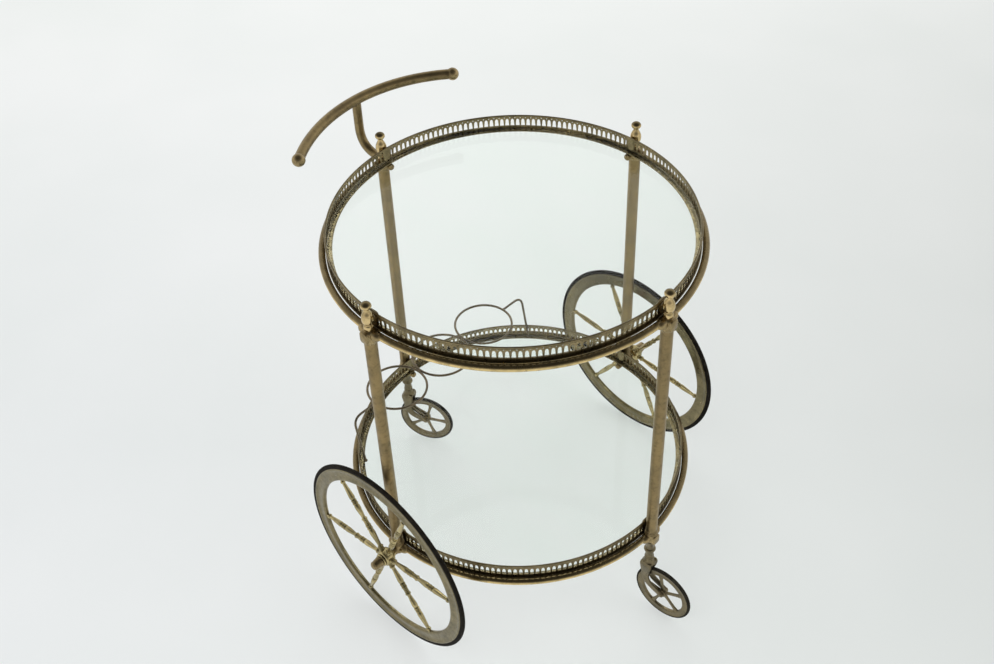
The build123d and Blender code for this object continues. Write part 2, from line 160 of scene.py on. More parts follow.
# Softboxes: place in metres and power in watts
SOFTBOXES = {
    "key": ((0.8, -2.8, 3.0), 75),
    "fill": ((3.0, 1.4, 2.6), 50),
    "back": ((-2.6, 2.0, 3.2), 60),
}
SOFTBOX_TARGET = (0, 0, 0.3)
SOFTBOX_SIZE = 3.0

# World: level of light over the height of a direction; the lean counts the backdrop's side as lower
SKY = ((0.0, 0.95), (0.36, 0.9), (0.52, 0.6), (0.7, 0.3), (1.0, 0.12))
SKY_GREEN = 1.005
BACKDROP_LEAN = (0.32, -0.32, 1.0)


# Shapes: each is a list of points in millimetres and a list of faces


def joined(*shapes):
    """One shape out of several."""
    points, faces = [], []
    for more_points, more_faces in shapes:
        start = len(points)
        points += more_points
        faces += [tuple(start + index for index in face) for face in more_faces]
    return points, faces


def placed(shape, origin, along=(0, 0, 1), across=(1, 0, 0)):
    """A shape moved to an origin, its Z axis along one direction and its X axis along another."""
    origin, z, x = Vector(origin), Vector(along), Vector(across)
    y = z.cross(x)
    points, faces = shape
    return [origin + x * p[0] + y * p[1] + z * p[2] for p in points], faces


def lathe(profile, segments, loop=False):
    """(radius, height) points turned about Z, upwards on the outside; a loop closes on itself."""
    points, faces, rows = [], [], []
    for radius, height in profile:
        start = len(points)
        count = segments if radius > 1e-6 else 1
        rows.append(range(start, start + count))
        turns = [tau * i / segments for i in range(count)]
        points += [(radius * cos(turn), radius * sin(turn), height) for turn in turns]
    for low, high in zip(rows, rows[1:] + rows[:1] if loop else rows[1:]):
        for i in range(segments):
            j = (i + 1) % segments
            foot = (low[i % len(low)], low[j % len(low)])
            head = (high[j % len(high)], high[i % len(high)])
            face = tuple(dict.fromkeys(foot + head))
            if len(face) > 2:
                faces.append(face)
    return points, faces


def mirrored(half):
    """A profile out of its lower half."""
    return [*half, *[(radius, -height) for radius, height in reversed(half)]]


def swept(path, section, side, scales=None):
    """A section of (side, up) points carried along a path, with a pair of scales for each point."""
    path = [Vector(point) for point in path]
    count, last = len(section), len(path) - 1
    side = Vector(side)
    points, faces = [], []
    for k, point in enumerate(path):
        tangent = (path[min(k + 1, last)] - path[max(k - 1, 0)]).normalized()
        side = (side - side.dot(tangent) * tangent).normalized()
        up = tangent.cross(side)
        wide, high = scales[k] if scales else (1, 1)
        points += [point + side * a * wide + up * b * high for a, b in section]
    for k in range(last):
        a, b = k * count, (k + 1) * count
        faces += [(a + i, a + (i + 1) % count, b + (i + 1) % count, b + i) for i in range(count)]
    faces.append(tuple(reversed(range(count))))
    faces.append(tuple(range(last * count, (last + 1) * count)))
    return points, faces


def circle(radius, sides):
    """Section points of a round rod."""
    turns = [tau * i / sides for i in range(sides)]
    return [(radius * cos(turn), radius * sin(turn)) for turn in turns]


def bar(half_width, half_thickness, corner, steps=4):
    """Section points of a flat bar with rounded edges."""
    points = []
    for quarter, (x, y) in enumerate(((1, 1), (-1, 1), (-1, -1), (1, -1))):
        for step in range(steps + 1):
            angle = pi / 2 * (quarter + step / steps)
            points.append((
                x * (half_width - corner) + corner * cos(angle),
                y * (half_thickness - corner) + corner * sin(angle),
            ))
    return points


def smooth(points, steps):
    """Points along a smooth curve through the given ones."""
    ends = [points[0], *points, points[-1]]
    curve = []
    for a, b, c, d in zip(ends, ends[1:], ends[2:], ends[3:]):
        for step in range(steps):
            t = step / steps
            curve.append(tuple(
                (2 * q + (r - p) * t + (2 * p - 5 * q + 4 * r - s) * t**2
                 + (3 * q - p - 3 * r + s) * t**3) / 2
                for p, q, r, s in zip(a, b, c, d)
            ))
    return [*curve, tuple(points[-1])]


def bead(foot, crown, start, end, steps=8):
    """Profile of a rounded bead, from one radius out to another, between two heights."""
    middle, half = (start + end) / 2, (end - start) / 2
    turns = [pi * step / steps for step in range(steps + 1)]
    return [(foot + (crown - foot) * sin(turn), middle - half * cos(turn)) for turn in turns]


def ball(radius, neck, centre, steps=18, squash=1.0):
    """Profile of a ball up from its neck to its pole, flattened by a factor."""
    start = pi - asin(neck / radius)
    turns = [start * (1 - step / steps) for step in range(steps)]
    side = [(radius * sin(turn), centre + squash * radius * cos(turn)) for turn in turns]
    return [*side, (0, centre + squash * radius)]


def rounded(corners, cut=19.0, steps=10):
    """A path of straight runs whose corners are turned with a smooth bend."""
    corners = [Vector(corner) for corner in corners]
    path = [corners[0]]
    for before, corner, after in zip(corners, corners[1:], corners[2:]):
        start = corner + (before - corner).normalized() * cut
        end = corner + (after - corner).normalized() * cut
        for step in range(steps + 1):
            t = step / steps
            path.append(start * (1 - t) ** 2 + corner * 2 * t * (1 - t) + end * t**2)
    return [*path, corners[-1]]


def outward(post):
    """Direction from the cart's axis to a post."""
    bearing = radians(POSTS[post])
    return Vector((cos(bearing), sin(bearing), 0))


def on_posts(shape, names, height):
    """Copies of a shape on the named posts, X axis outward, at a height."""
    copies = []
    for name in names:
        out = outward(name)
        copies.append(placed(shape, out * POST_CIRCLE + UP * height, across=out))
    return joined(*copies)


def piece(name, shape, finish, body, nodes, crease=38):
    """A finished object out of a shape, riding on a body and standing for CAD nodes."""
    points, faces = shape
    mesh = bpy.data.meshes.new(name)
    mesh.from_pydata([Vector(p) * MM for p in points], [], faces)
    mesh.validate()
    mesh.shade_smooth()
    mesh.set_sharp_from_angle(angle=radians(crease))
    mesh.materials.append(finish)
    obj = bpy.data.objects.new(name, mesh)
    bpy.context.scene.collection.objects.link(obj)
    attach(obj, body)
    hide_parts(*nodes)
    return obj


# Materials


def set_stops(ramp, stops):
    """(position, colour) pairs along a colour ramp node; a colour may be a plain level."""
    elements = ramp.color_ramp.elements
    while len(elements) < len(stops):
        elements.new(0.5)
    for element, (position, colour) in zip(elements, stops):
        element.position = position
        element.color = (*colour, 1) if isinstance(colour, tuple) else (colour, colour, colour, 1)


class Finish:
    """A node material around one Principled shader, with its textures in millimetres."""

    def __init__(self, name, **sockets):
        self.material = bpy.data.materials.new(name)
        self.material.use_nodes = True
        self.tree = self.material.node_tree
        self.shader = self.tree.nodes["Principled BSDF"]
        for socket, value in sockets.items():
            self.shader.inputs[socket.replace("_", " ")].default_value = value
        coordinates = self.tree.nodes.new("ShaderNodeTexCoord")
        self.millimetres = self.node("ShaderNodeVectorMath", operation="SCALE", Scale=1 / MM)
        self.link(coordinates.outputs["Object"], self.millimetres.inputs[0])

    def node(self, kind, operation=None, **sockets):
        """A new node with its operation and the values of its sockets."""
        node = self.tree.nodes.new(kind)
        if operation:
            node.operation = operation
        for socket, value in sockets.items():
            node.inputs[socket].default_value = value
        return node

    def link(self, output, socket):
        """A link from a node's output to a node's input."""
        self.tree.links.new(output, socket)

    def noise(self, size, detail, rough=0.55, stretch=None):
        """Noise of a grain size in millimetres, stretched by a factor along each axis."""
        node = self.node("ShaderNodeTexNoise", Scale=1.0 / size, Detail=detail, Roughness=rough)
        vector = self.millimetres.outputs[0]
        if stretch:
            squeeze = self.node("ShaderNodeVectorMath", operation="MULTIPLY")
            squeeze.inputs[1].default_value = [1 / factor for factor in stretch]
            self.link(vector, squeeze.inputs[0])
            vector = squeeze.outputs[0]
        self.link(vector, node.inputs["Vector"])
        return node.outputs["Fac"]

    def ramp(self, value, *stops):
        """Colours, or plain levels, over a value: (position, colour) pairs."""
        node = self.tree.nodes.new("ShaderNodeValToRGB")
        set_stops(node, stops)
        self.link(value, node.inputs["Fac"])
        return node.outputs["Color"]

    def mix(self, share, a, b, blend="MIX"):
        """Two colours mixed by a share, each a socket or a colour."""
        node = self.tree.nodes.new("ShaderNodeMix")
        node.data_type = "RGBA"
        node.blend_type = blend
        for value, socket in ((share, node.inputs[0]), (a, node.inputs[6]), (b, node.inputs[7])):
            if isinstance(value, bpy.types.NodeSocket):
                self.link(value, socket)
            else:
                socket.default_value = (*value, 1) if isinstance(value, tuple) else value
        return node.outputs[2]

    def bump(self, height, depth):
        """Bump of a height texture, in millimetres of depth, onto the shader's normal."""
        node = self.node("ShaderNodeBump", Strength=1.0, Distance=depth * MM)
        self.link(height, node.inputs["Height"])
        self.link(node.outputs["Normal"], self.shader.inputs["Normal"])


def brass(name, clean, dull, tarnish_and_shade, gloss=(0.22, 0.42), reach=7.0, alone=False, top_shade=None):
    """Aged brass: blotched from clean to dull, tarnished in spots, with painted shade in corners
    and on what faces upward.

    gloss is the roughness at its brightest and at its dullest. reach is how far the painted shade
    of a corner goes, in millimetres; alone keeps other pieces from shading its corners. The
    upward shade setting is (low, high, share): what faces upward by more than low is painted
    darker, by that share at high.
    """
    finish = Finish(name, Metallic=1.0)
    patches = finish.noise(30.0, detail=6.0, rough=0.6)
    specks = finish.noise(7.0, detail=4.0, rough=0.6)
    grain = finish.noise(0.9, detail=3.0)
    metal = finish.ramp(patches, (0.34, dull), (0.66, clean))
    spots = finish.ramp(specks, (0.28, 0.4), (0.48, 0.0))
    colour = finish.mix(spots, metal, tarnish_and_shade)
    # Painted shade: faces that look upward are darkened towards the tarnish colour
    if top_shade:
        low, high, share = top_shade
        facing = finish.tree.nodes.new("ShaderNodeNewGeometry")
        height = finish.node("ShaderNodeSeparateXYZ")
        finish.link(facing.outputs["Normal"], height.inputs[0])
        topside = finish.ramp(height.outputs["Z"], (low, 0.0), (high, share))
        colour = finish.mix(topside, colour, tarnish_and_shade)
    # Painted shade in corners, creases and recesses, found by ambient occlusion
    corners = finish.tree.nodes.new("ShaderNodeAmbientOcclusion")
    corners.samples = 8
    corners.only_local = alone
    corners.inputs["Distance"].default_value = reach * MM
    corner_shade = finish.ramp(corners.outputs["AO"], (0.25, 0.9), (0.8, 0.0))
    finish.link(finish.mix(corner_shade, colour, tarnish_and_shade), finish.shader.inputs["Base Color"])
    bright, dim = gloss
    finish.link(finish.ramp(specks, (0.3, dim), (0.7, bright)), finish.shader.inputs["Roughness"])
    finish.bump(finish.mix(0.35, specks, grain), depth=0.03)
    return finish.material


# The upward shade setting, where a brass below has one, paints shade on what faces upward; every
# brass also gets painted shade in its corners
frame_brass = brass(
    "aged_brass", (0.36, 0.26, 0.12), (0.24, 0.18, 0.09), (0.08, 0.06, 0.035), gloss=(0.3, 0.46),
)
grip_brass = brass(
    "grip_brass", (0.33, 0.245, 0.115), (0.21, 0.157, 0.078), (0.06, 0.045, 0.027),
    gloss=(0.28, 0.44),
)
hoop_brass = brass(
    "hoop_brass", (0.95, 0.71, 0.33), (0.46, 0.35, 0.16), (0.105, 0.08, 0.042),
    gloss=(0.16, 0.32), reach=3.0, top_shade=(0.1, 0.6, 0.86),
)
cast_brass = brass(
    "cast_brass", (0.42, 0.315, 0.155), (0.28, 0.212, 0.11), (0.08, 0.06, 0.034),
    gloss=(0.22, 0.38), reach=4.0, top_shade=(0.6, 1.0, 0.4),
)
bright_brass = brass(
    "bright_brass", (0.80, 0.60, 0.30), (0.54, 0.41, 0.20), (0.10, 0.08, 0.038),
    gloss=(0.12, 0.24), reach=3.0, top_shade=(0.3, 0.66, 0.85),
)
gallery_brass = brass(
    "gallery_brass", (0.36, 0.285, 0.15), (0.20, 0.163, 0.09), (0.06, 0.048, 0.03),
    alone=True, top_shade=(0.5, 0.95, 0.55),
)
wheel_brass = brass(
    "wheel_brass", (0.285, 0.235, 0.125), (0.175, 0.149, 0.085), (0.07, 0.06, 0.038),
    gloss=(0.24, 0.42),
)
turned_brass = brass(
    "turned_brass", (0.58, 0.475, 0.235), (0.31, 0.262, 0.135), (0.05, 0.04, 0.024),
    gloss=(0.14, 0.28), reach=3.5,
)
caster_brass = brass(
    "caster_brass", (0.25, 0.20, 0.115), (0.165, 0.14, 0.088), (0.05, 0.042, 0.028),
    gloss=(0.26, 0.42),
)
wire_brass = brass("wire_brass", (0.24, 0.19, 0.12), (0.16, 0.13, 0.09), (0.06, 0.05, 0.036))


def rubber(name, colour, dust):
    """Old black rubber with a dusty bloom and fine scuffs."""
    finish = Finish(name, Specular_IOR_Level=0.05)
    bloom = finish.noise(12.0, detail=6.0, rough=0.7)
    scuffs = finish.noise(1.2, detail=4.0)
    finish.link(finish.ramp(bloom, (0.4, colour), (0.75, dust)), finish.shader.inputs["Base Color"])
    finish.link(finish.ramp(scuffs, (0.3, 0.5), (0.7, 0.75)), finish.shader.inputs["Roughness"])
    finish.bump(scuffs, depth=0.08)
    return finish.material


tyre_rubber = rubber("tyre_rubber", (0.007, 0.0055, 0.004), (0.022, 0.018, 0.013))
caster_rubber = rubber("caster_rubber", (0.014, 0.012, 0.009), (0.045, 0.04, 0.03))


def clear_glass(name):
    """Plate glass with a faint green body and smears."""
    finish = Finish(name, Transmission_Weight=1.0, IOR=1.14)
    smears = finish.noise(90.0, detail=5.0, rough=0.6, stretch=(2.5, 1.0, 1.0))
    body = finish.ramp(smears, (0.35, (0.935, 0.975, 0.945)), (0.65, (0.955, 0.98, 0.96)))
    finish.link(body, finish.shader.inputs["Base Color"])
    finish.link(finish.ramp(smears, (0.45, 0.0), (0.75, 0.03)), finish.shader.inputs["Roughness"])
    return finish.material


# The glass discs stay as the CAD has them, with this material
glass = clear_glass("plate_glass")
for tier in TIERS:
    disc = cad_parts[f"{tier}_glass"]
    disc.data.materials.clear()
    disc.data.materials.append(glass)


# Frame: hoops, posts, castings, finials and pins

for tier, height in TIERS.items():
    hoop = [(RING_RADIUS + a, height + b) for a, b in circle(RING_TUBE, 24)]
    piece(f"{tier}_hoop", lathe(hoop, 240, loop=True), hoop_brass, "frame",
          [f"{tier}_ring"])

post_foot = TIERS["lower"] + COUPLING_HALF
post_head = TIERS["upper"] - COUPLING_HALF
tube = lathe([
    (0, post_foot), (POST_RADIUS, post_foot), (POST_RADIUS, post_head), (0, post_head),
], 48)
for name in POSTS:
    piece(f"post_tube_{name}", on_posts(tube, [name], 0), frame_brass, "frame",
          [f"post_{name}"])

upper_casting = lathe([
    *smooth([
        (9.55, -15.5), (10.0, -14), (10.6, -11.5), (10.8, -8), (10.8, 0), (10.5, 3), (9.2, 5.2),
        (7.4, 6.6), (6.6, 7.4),
    ], 3),
    (6.4, 11.2), (0, 11.2),
], 40)
lower_casting = lathe([
    (0, -13), (6.0, -13),
    *smooth([
        (6.2, -12.8), (7.6, -11.6), (10.2, -9.4), (11.2, -7), (11.4, 0), (11.3, 5), (10.8, 8.4),
        (9.8, 9.6),
    ], 3),
    *bead(9.7, 10.7, 9.8, 12.8), *bead(9.7, 10.5, 13.2, 16.2), (9.5, 16.6),
], 40)
outer_boss = swept(
    [(reach, 0, BOSS_HEIGHT) for reach, _, _ in BOSS], bar(7.8, 9.6, 4.5, 6), (0, 1, 0),
    [(wide, high) for _, wide, high in BOSS],
)


def sleeves(height):
    """Oval sleeves of the castings, where the arcs of a hoop run into each post's coupling."""
    shapes = []
    for name in POSTS:
        out = outward(name)
        aside = UP.cross(out)
        for way in (-1, 1):
            path = [
                out * (radius**2 - run**2) ** 0.5 + aside * way * run + UP * height
                for run, radius, _, _ in SLEEVE
            ]
            sizes = [(wide, high) for _, _, wide, high in SLEEVE]
            shapes.append(swept(path, circle(1.0, 28), out, sizes))
    return joined(*shapes)


for tier, casting, bossed in (
    ("upper", upper_casting, ("front", "right", "left")),
    ("lower", lower_casting, ("front", "handle")),
):
    shape = joined(
        on_posts(casting, POSTS, TIERS[tier]), on_posts(outer_boss, bossed, TIERS[tier]),
        sleeves(TIERS[tier]),
    )
    piece(f"{tier}_castings", shape, cast_brass, "frame", [f"{tier}_couplings"])

finial = lathe([
    (0, -4.8), (6.3, -4.8),
    *smooth([(6.5, -4.6), (7.2, -2.6), (7.4, 0.2), (7.0, 3.0), (6.0, 5.0)], 3),
    (5.4, 5.9), (5.3, 6.7),
    *smooth([
        (6.0, 7.3), (7.6, 9.4), (8.7, 12.8), (9.0, 16.8), (8.6, 20.8), (7.3, 24.6), (5.6, 28.0),
        (4.4, 30.8), (3.9, 33.0),
    ], 4),
    *ball(8.1, 3.9, 39.0, squash=0.77),
], 40)
piece("turned_finials", on_posts(finial, POSTS, TIERS["upper"] + COUPLING_HALF), bright_brass,
      "frame", ["finials"])

pin = lathe([
    (4.4, -18), (4.2, -10), (3.4, -6.5), (3.2, -5),
    *smooth([
        (4.0, -4.2), (5.4, -2.6), (5.75, 0.0), (5.6, 3.4), (5.0, 5.6), (3.6, 6.9), (1.8, 7.4),
        (0.0, 7.5),
    ], 3),
], 28)
pin = placed(pin, (PIN_RADIUS - POST_CIRCLE, 0, 0), along=(-1, 0, 0), across=(0, 0, 1))
for tier, height in TIERS.items():
    piece(f"{tier}_pins", on_posts(pin, POSTS, height - PIN_DROP + TRAY_LIFTS[tier]), frame_brass,
          "frame", [f"{tier}_tray_pins"])


# Trays: the pierced galleries and their clasps


def pierced_band(shift, edge, hole):
    """A band of the gallery's wall: faces between the edge loop of each cell and its hole loop."""
    points, faces = [], []
    size = len(hole)
    inner = 2 * size
    for cell in range(ARCHES):
        centre = tau * (cell + shift) / ARCHES
        start = len(points)
        for radius in (GALLERY_RADIUS, WALL_INSIDE):
            for along, height in (*edge, *hole):
                angle = centre + along / GALLERY_RADIUS
                points.append((radius * cos(angle), radius * sin(angle), height))
        for i in range(size):
            edge_a, edge_b = start + i, start + (i + 1) % size
            hole_a, hole_b = edge_a + size, edge_b + size
            faces += [
                (edge_a, edge_b, hole_b, hole_a),
                (edge_b + inner, edge_a + inner, hole_a + inner, hole_b + inner),
                (hole_a, hole_b, hole_b + inner, hole_a + inner),
            ]
    return points, faces


def cell_edge(half_width, bottom, top, foot_steps, side_steps):
    """Loop round a cell from the middle of its foot: right side, head, left side and back."""
    right = [(half_width * k / foot_steps, bottom) for k in range(foot_steps)]
    right += [(half_width, bottom + (top - bottom) * k / side_steps) for k in range(side_steps)]
    head = [(half_width * (1 - 2 * k / side_steps), top) for k in range(side_steps + 1)]
    left = [(-x, y) for x, y in reversed(right[1:])]
    return right + head + left


def arch_loop():
    """Loop round a bell-shaped opening with as many points as the edge of its cell."""
    foot = [(ARCH_FOOT * k / 3, ARCH_SILL) for k in range(3)]
    side = smooth([(ARCH_FOOT, ARCH_SILL), (3.1, 12.2), (2.75, 15.4), (ARCH_HEAD, ARCH_SPRING)], 1)
    rise = ARCH_TOP - ARCH_SPRING
    turns = [radians(22 + 136 * k / 10) for k in range(11)]
    curve = [(ARCH_HEAD * cos(turn), ARCH_SPRING + rise * sin(turn)) for turn in turns]
    right = foot + side + curve[:2]
    left = [(-x, y) for x, y in reversed(right[1:])]
    return right + curve[2:9] + left


def clasp(bearing):
    """Curved shield on the inside of the gallery in front of a post."""
    points, faces = [], []
    shares = [2 * k / CLASP_COLUMNS - 1 for k in range(CLASP_COLUMNS + 1)]
    for depth, fall in ((CLASP_FACE, CLASP_FALL), (CLASP_BACK, 0)):
        for height, half_width in CLASP_ROWS:
            for share in shares:
                radius = WALL_INSIDE - depth + fall * abs(share) ** 3
                angle = bearing + half_width * share / WALL_INSIDE
                points.append((radius * cos(angle), radius * sin(angle), height))
    row = CLASP_COLUMNS + 1
    size = len(CLASP_ROWS) * row
    for start in range(0, size - row, row):
        for a in range(start, start + CLASP_COLUMNS):
            b, c, d = a + 1, a + row + 1, a + row
            faces += [(d, c, b, a), (a + size, b + size, c + size, d + size)]
    outline = [
        *range(row), *range(2 * row - 1, size, row), *range(size - 2, size - row - 1, -1),
        *range(size - 2 * row, 0, -row),
    ]
    for a, b in zip(outline, outline[1:] + outline[:1]):
        faces.append((a, b, b + size, a + size))
    return points, faces


half_pitch = pi * GALLERY_RADIUS / ARCHES
eyelet = [
    (EYELET * sin(turn), EYELET_HEIGHT - EYELET * cos(turn))
    for turn in [tau * k / 16 for k in range(16)]
]
sill, crest = ARCH_BAND[0], EYELET_BAND[1]
wall_in, wall_out = WALL_INSIDE, GALLERY_RADIUS
ledge = lathe([
    (LEDGE_INSIDE, 0.3), (LEDGE_INSIDE + 0.3, 0), (wall_in, 0), (wall_in + 0.1, SKIRT_FOOT + 0.2),
    (wall_in + 0.3, SKIRT_FOOT), (wall_out - 0.3, SKIRT_FOOT), (wall_out, 0.5),
    (wall_out + 0.9, 0.8), (wall_out + 0.9, 1.6), (wall_out, 1.9), (wall_out, sill),
    (wall_in, sill), (wall_in, LEDGE_TOP), (LEDGE_INSIDE + 0.3, LEDGE_TOP), (LEDGE_INSIDE, 1.3),
], 2 * ARCHES, loop=True)
rail = lathe([
    (wall_in, crest), (wall_out, crest), (wall_out, crest + 0.3), (wall_out + 0.5, crest + 0.9),
    (wall_out + 0.7, crest + 2.1), (wall_out + 0.5, crest + 3.3), (wall_out - 0.2, GALLERY_HEIGHT),
    (wall_out - 1.4, GALLERY_HEIGHT), (wall_out - 2.2, crest + 3.4), (wall_out - 2.5, crest + 2.1),
    (wall_out - 2.1, crest + 0.9), (wall_in, crest + 0.3),
], 2 * ARCHES, loop=True)
gallery = joined(
    ledge,
    pierced_band(0, cell_edge(half_pitch, *ARCH_BAND, 3, 6), arch_loop()),
    pierced_band(0.5, cell_edge(half_pitch, *EYELET_BAND, 2, 4), eyelet),
    rail,
    *[clasp(radians(bearing)) for bearing in POSTS.values()],
)
for tier, height in TIERS.items():
    piece(f"{tier}_pierced_gallery", placed(gallery, (0, 0, height + TRAY_LIFTS[tier])),
          gallery_brass, f"{tier}_tray", [f"{tier}_gallery"], crease=50)


# Bottle rack: three rings soldered side by side, and two legs

wire = circle(WIRE_RADIUS, 14)
bottle_ring = lathe([(BOTTLE_RING + a, b) for a, b in wire], 96, loop=True)
solder_side = [(2.3 * cos(turn), 3.4 * sin(turn)) for turn in (-1.1, -0.6, 0, 0.6, 1.1)]
solder = lathe([(0, -3.4), *solder_side, (0, 3.4)], 16)
rings = [
    placed(bottle_ring, (-RACK_OFFSET, RING_PITCH * step, BOTTLE_RING_HEIGHT))
    for step in (-1, 0, 1)
]
joints = [
    placed(solder, (-RACK_OFFSET, RING_PITCH * step, BOTTLE_RING_HEIGHT), (1, 0, 0), (0, 1, 0))
    for step in (-0.5, 0.5)
]
piece("bottle_wires", joined(*rings, *joints), wire_brass, "lower_tray",
      ["bottle_rings"])

rack_foot = lathe([(0, 0), (3.5, 0), (3.5, 1.2), (2.9, 2.0), (2.0, 2.6), (0, 2.6)], 24)
for name, side in SIDES.items():
    route = rounded([
        (-RACK_OFFSET, side * (RING_PITCH + BOTTLE_RING), BOTTLE_RING_HEIGHT),
        (-RACK_OFFSET, side * RACK_FOOT_Y, BOTTLE_RING_HEIGHT),
        (-RACK_FOOT_X, side * RACK_FOOT_Y, WIRE_END),
    ])
    leg = joined(
        swept(route, wire, (1, 0, 0)),
        placed(rack_foot, (-RACK_FOOT_X, side * RACK_FOOT_Y, SHELF_TOP)),
    )
    piece(f"rack_wire_{name}", leg, wire_brass, "lower_tray", [f"rack_leg_{name}"])


# Large wheels, drawn about their own axle; a spoke is (radius, distance from the axle)

rim = lathe(mirrored([
    (150.0, -1.0), (150.2, -2.0), (150.9, -2.9), (152.2, -3.45), (154.0, -3.6), (156.4, -3.3),
    (159, -2.7), (162, -2.3), (165, -2.2), (167.4, -2.5), (168.8, -3.1), (170.0, -3.6),
    (171.4, -3.6), (172.4, -3.1), (173.2, -3.0),
]), 192, loop=True)
tyre = lathe(mirrored([
    (172.6, -3.1), (173.6, -3.35), (176.0, -3.4), (177.8, -3.0), (179.0, -2.0), (179.5, -0.8),
]), 192, loop=True)
hub = lathe([
    (4.55, -13), (8.4, -13), (9.0, -12.2), (9.6, -10.0),
    *smooth([
        (11.0, -9.0), (13.6, -7.6), (14.4, -5.2), (14.6, 0), (14.4, 5.2), (13.6, 7.6), (11.0, 9.0),
    ], 3),
    (10.2, 9.3), *bead(9.8, 11.2, 9.6, 12.4), (9.0, 12.8), (8.4, 13), (4.55, 13),
], 48, loop=True)
spoke_profile = [
    (2.2, 9), (3.0, 12), *bead(2.9, 4.1, 13, 16), *bead(2.9, 3.7, 16.2, 18.4),
    *bead(2.9, 4.2, 18.6, 22.0),
    *smooth([(2.8, 22.4), (2.6, 25), (3.1, 33), (3.9, 43), (4.1, 48), (3.8, 51.5), (2.9, 53.2)], 3),
    *bead(2.8, 4.2, 53.6, 57.0), *bead(2.8, 3.7, 57.2, 59.4), *bead(2.8, 4.2, 59.6, 63.0),
    *bead(2.7, 3.4, 63.2, 66.2), *bead(2.7, 3.4, 66.4, 69.4), *bead(2.7, 3.4, 69.6, 72.6),
    *bead(2.8, 4.2, 72.8, 76.2),
    *smooth([(2.8, 76.6), (2.6, 79), (3.2, 86), (3.9, 94), (4.0, 98), (3.6, 101), (2.8, 102.4)], 3),
    *bead(2.7, 4.2, 102.8, 106.0), *bead(2.7, 3.6, 106.2, 108.4), *bead(2.7, 4.0, 108.6, 111.6),
    *smooth([
        (2.7, 112), (3.7, 114), (3.9, 117), (3.5, 125), (2.9, 134), (2.4, 142), (2.3, 143.6),
    ], 3),
    *bead(2.3, 3.6, 143.8, 148.4), (2.4, 148.8), (2.4, 150.6),
]
spoke = lathe([(radius * SPOKE_STOUTNESS, run) for radius, run in spoke_profile], 24)
spoke_turns = [radians(SPOKE_PHASE + 360 * index / SPOKES) for index in range(SPOKES)]
spokes = joined(*[
    placed(spoke, (0, 0, 0), along=(cos(turn), sin(turn), 0), across=(0, 0, 1))
    for turn in spoke_turns
])
cap_nut = lathe([
    (0, 0), (8.6, 0), (9.3, 0.6), (9.4, 2.0),
    *smooth([(9.0, 3.0), (8.5, 6.0), (8.0, 9.6), (7.4, 12.2)], 3),
    *bead(7.3, 7.9, 12.6, 14.6),
    *smooth([(6.9, 14.8), (5.6, 16.3), (3.0, 17.3), (0.0, 17.6)], 4),
], 36)
shoulder = lathe([
    (0, 8), (8.4, 8), (8.4, 11), (7.9, 12.2), (7.5, 12.8), (7.5, 13.6), (4.5, 13.7), (4.5, 40.2),
    (3, 40.3), (3, 50), (0, 50),
], 40)
for name, side in SIDES.items():
    out = (0, side, 0)
    hub_centre = (0, side * WHEEL_PLANE, WHEEL_RADIUS)
    post_centre = (0, side * POST_CIRCLE, WHEEL_RADIUS)
    nut_seat = (0, side * (POST_CIRCLE + JOURNAL_END), WHEEL_RADIUS)
    body = f"wheel_{name}"
    piece(f"rim_band_{name}", placed(rim, hub_centre, out), wheel_brass, body,
          [f"wheel_rim_{name}"])
    piece(f"tyre_band_{name}", placed(tyre, hub_centre, out), tyre_rubber, body,
          [f"tyre_{name}"])
    piece(f"hub_turning_{name}", placed(hub, hub_centre, out), turned_brass, body,
          [f"wheel_hub_{name}"])
    piece(f"spoke_turnings_{name}", placed(spokes, hub_centre, out), turned_brass, body,
          [f"wheel_spokes_{name}"], crease=60)
    piece(f"axle_turning_{name}", placed(shoulder, post_centre, out), frame_brass, "frame",
          [f"axle_{name}"])
    piece(f"acorn_nut_{name}", placed(cap_nut, nut_seat, out), cast_brass, "frame",
          [f"cap_nut_{name}"])


# Casters: socket and fork are drawn on the stem's axis from the floor, the wheel about its axle

socket = lathe([
    (0, 136), (6.9, 136), (6.9, 139.5), (7.0, 143.0),
    *smooth([
        (7.2, 144.0), (8.8, 145.2), (9.8, 147.0), (9.8, 149.0), (8.8, 150.8), (7.3, 152.0),
        (7.0, 153.0),
    ], 4),
    *smooth([(7.0, 155), (7.4, 159), (8.5, 163.5), (10.0, 168.5), (10.8, 172.6)], 3),
    (0, 172.6),
], 32)
crown = lathe([
    (0, 111.8), (11.4, 111.8), (12.0, 112.3),
    *smooth([
        (12.0, 113.0), (11.6, 114.4), (10.4, 116.6), (9.0, 118.8), (8.0, 121.0), (7.4, 123.0),
    ], 4),
    (7.1, 123.8), *bead(7.1, 7.9, 124.2, 127.0, 6), (6.9, 127.5),
    *bead(7.1, 7.9, 128.0, 130.8, 6), (6.9, 131.3), (6.9, 135.6), (4, 135.7), (4, 168), (0, 168),
], 32)
